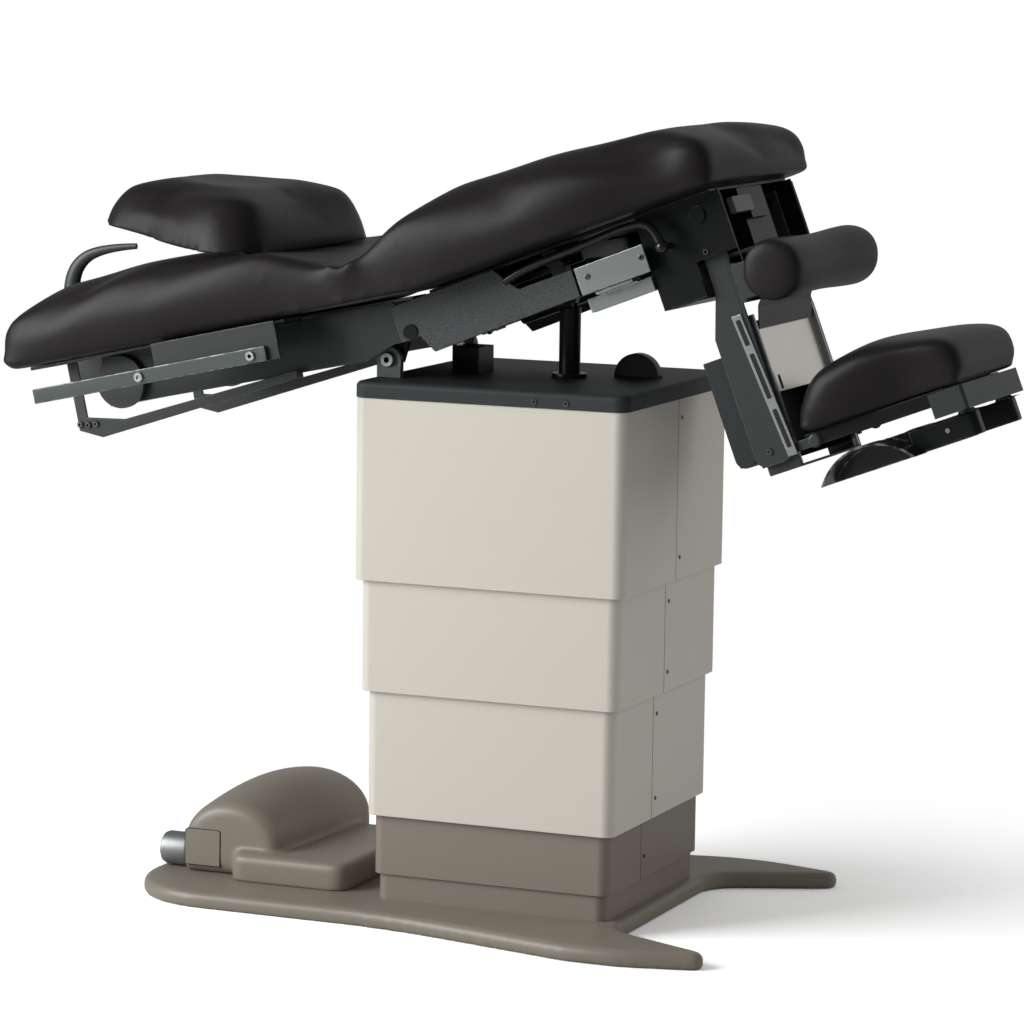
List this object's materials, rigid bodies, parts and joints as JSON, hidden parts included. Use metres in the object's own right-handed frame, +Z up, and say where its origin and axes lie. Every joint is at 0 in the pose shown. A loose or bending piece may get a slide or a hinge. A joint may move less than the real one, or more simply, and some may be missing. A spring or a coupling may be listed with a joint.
{
  "type": "procedure chair",
  "caption": "Powered procedure chair on a telescoping square column, with tilting seat, raising back, headrest, hanging foot section, knee rest and stirrups.",
  "frame": {"origin": "middle of the column on the floor", "axes": "+X towards the foot end, +Y towards the far side, +Z up"},
  "size_m": [1.708, 0.7666, 1.3159],
  "materials": {
    "beige_moulding": "satin beige moulding",
    "taupe_moulding": "satin taupe moulding",
    "black_moulding": "matt black moulding",
    "black_paint": "satin black paint",
    "textured_paint": "dark grey textured paint",
    "vinyl": "soft dark vinyl",
    "brushed_plate": "brushed",
    "rail_finish": "satin grey",
    "steel_fittings": "satin",
    "machined_steel": "machined",
    "roll_paper": "white paper"
  },
  "bodies": {
    "base": {"base_plate": "taupe_moulding", "base_shroud_near": "taupe_moulding", "base_shroud_far": "taupe_moulding", "pump_cover": "taupe_moulding", "pump_access_panel": "taupe_moulding", "inlet_fitting": "steel_fittings", "pump_machinery": "black_paint", "column_outer_tube": "machined_steel", "lift_barrel": "machined_steel"},
    "lower_stage": {"lower_shroud_near": "beige_moulding", "lower_shroud_far": "beige_moulding"},
    "middle_stage": {"middle_shroud_near": "beige_moulding", "middle_shroud_far": "beige_moulding"},
    "column_slide": {"column_middle_tube": "machined_steel", "lift_ram_middle": "machined_steel"},
    "carriage": {"upper_shroud_near": "beige_moulding", "upper_shroud_far": "beige_moulding", "top_cover": "black_moulding", "top_plate": "machined_steel", "column_top_tube": "machined_steel", "lift_ram_top": "machined_steel", "hinge_lugs": "steel_fittings", "hinge_pins": "steel_fittings", "seat_rests": "black_paint", "tilt_cylinder": "machined_steel"},
    "tilt_ram": {"tilt_rod": "machined_steel"},
    "seat": {"seat_underframe": "black_paint", "seat_side_panels": "textured_paint", "side_plates": "brushed_plate", "under_rails": "brushed_plate", "seat_pan": "black_paint", "seat_cushion": "vinyl", "front_box": "black_paint", "seat_pivot_pins": "black_paint", "back_cylinder": "machined_steel", "fold_pad": "vinyl"},
    "release_lever": {"release_lever": "black_paint"},
    "back_ram": {"back_ram_rod": "machined_steel"},
    "back": {"back_frame": "black_paint", "back_cushion": "vinyl", "side_rails": "rail_finish", "rail_brackets": "black_paint", "rail_screws": "steel_fittings", "roll_cradle": "black_paint", "headrest_post": "black_paint"},
    "roll": {"paper_roll": "roll_paper", "roll_spindle": "black_paint"},
    "head_handle": {"head_handle": "black_paint"},
    "headrest": {"headrest_board": "black_paint", "headrest_pad": "vinyl"},
    "foot_section": {"foot_frame": "black_paint", "foot_drive_cover": "black_moulding", "roll_bracket": "black_paint", "calf_roll": "vinyl"},
    "foot_extension": {"foot_slider": "black_paint", "slide_steel": "brushed_plate"},
    "knee_rest": {"knee_tray": "black_paint", "knee_pad": "vinyl"},
    "stirrup_near": {"stirrup_near": "black_paint"},
    "stirrup_far": {"stirrup_far": "black_paint"}
  },
  "joints": [
    {"name": "lift", "type": "slide", "parent": "base", "child": "carriage", "axis": [0, 0, 1], "range_m": [-0.445, 0]},
    {"name": "middle_follow", "type": "slide", "parent": "base", "child": "middle_stage", "axis": [0, 0, 1], "range_m": [-0.2889, 0]},
    {"name": "lower_follow", "type": "slide", "parent": "base", "child": "lower_stage", "axis": [0, 0, 1], "range_m": [-0.1118, 0]},
    {"name": "guide_follow", "type": "slide", "parent": "base", "child": "column_slide", "axis": [0, 0, 1], "range_m": [-0.223, 0]},
    {"name": "seat_tilt", "type": "hinge", "parent": "carriage", "child": "seat", "pos_m": [-0.214, 0, 0.934], "axis": [0, -1, 0], "range_deg": [-17, 4]},
    {"name": "tilt_ram_slide", "type": "slide", "parent": "carriage", "child": "tilt_ram", "axis": [0, 0, 1], "range_m": [-0.0865, 0.0205]},
    {"name": "lever_press", "type": "hinge", "parent": "seat", "child": "release_lever", "pos_m": [0.28871, -0.222, 1.14518], "axis": [0, -1, 0], "range_deg": [0, 6], "stiffness_Nm_per_rad": 20, "springref_deg": -5.73},
    {"name": "back_raise", "type": "hinge", "parent": "seat", "child": "back", "pos_m": [-0.15308, 0, 0.98738], "axis": [0, 1, 0], "range_deg": [-8.5, 60], "deforming": ["fold_pad"]},
    {"name": "back_ram_slide", "type": "slide", "parent": "seat", "child": "back_ram", "axis": [-0.9336, 0, -0.3584], "range_m": [-0.0036, 0.0238]},
    {"name": "roll_spin", "type": "hinge", "parent": "back", "child": "roll", "pos_m": [-0.69351, 0, 0.87474], "axis": [0, 1, 0], "continuous": true},
    {"name": "handle_pull", "type": "hinge", "parent": "back", "child": "head_handle", "pos_m": [-0.86523, 0, 0.84998], "axis": [0, 1, 0], "range_deg": [-12, 0], "stiffness_Nm_per_rad": 10, "springref_deg": 11.46},
    {"name": "headrest_tilt", "type": "hinge", "parent": "back", "child": "headrest", "pos_m": [-0.47418, 0, 1.119], "axis": [0, 1, 0], "range_deg": [-16, 15]},
    {"name": "foot_raise", "type": "hinge", "parent": "seat", "child": "foot_section", "pos_m": [0.33455, 0, 1.19598], "axis": [0, -1, 0], "range_deg": [0, 85]},
    {"name": "foot_extend", "type": "slide", "parent": "foot_section", "child": "foot_extension", "axis": [0.3584, 0, -0.9336], "range_m": [0, 0.12]},
    {"name": "knee_tilt", "type": "hinge", "parent": "foot_extension", "child": "knee_rest", "pos_m": [0.53405, 0, 0.84089], "axis": [0, 1, 0], "range_deg": [-10, 25]},
    {"name": "stirrup_near_swing", "type": "hinge", "parent": "knee_rest", "child": "stirrup_near", "pos_m": [0.7685, -0.103, 0.89983], "axis": [-0.3584, 0, 0.9336], "range_deg": [0, 100]},
    {"name": "stirrup_far_swing", "type": "hinge", "parent": "knee_rest", "child": "stirrup_far", "pos_m": [0.7685, 0.103, 0.89983], "axis": [-0.3584, 0, 0.9336], "range_deg": [-100, 0]}
  ],
  "couplings": [
    {"joint": "middle_follow", "follows": "lift", "ratio": 0.648},
    {"joint": "lower_follow", "follows": "lift", "ratio": 0.25},
    {"joint": "guide_follow", "follows": "lift", "ratio": 0.5},
    {"joint": "tilt_ram_slide", "follows": "seat_tilt", "m_per_rad": 0.29},
    {"joint": "back_ram_slide", "follows": "back_raise", "m_per_rad": 0.0225}
  ]
}
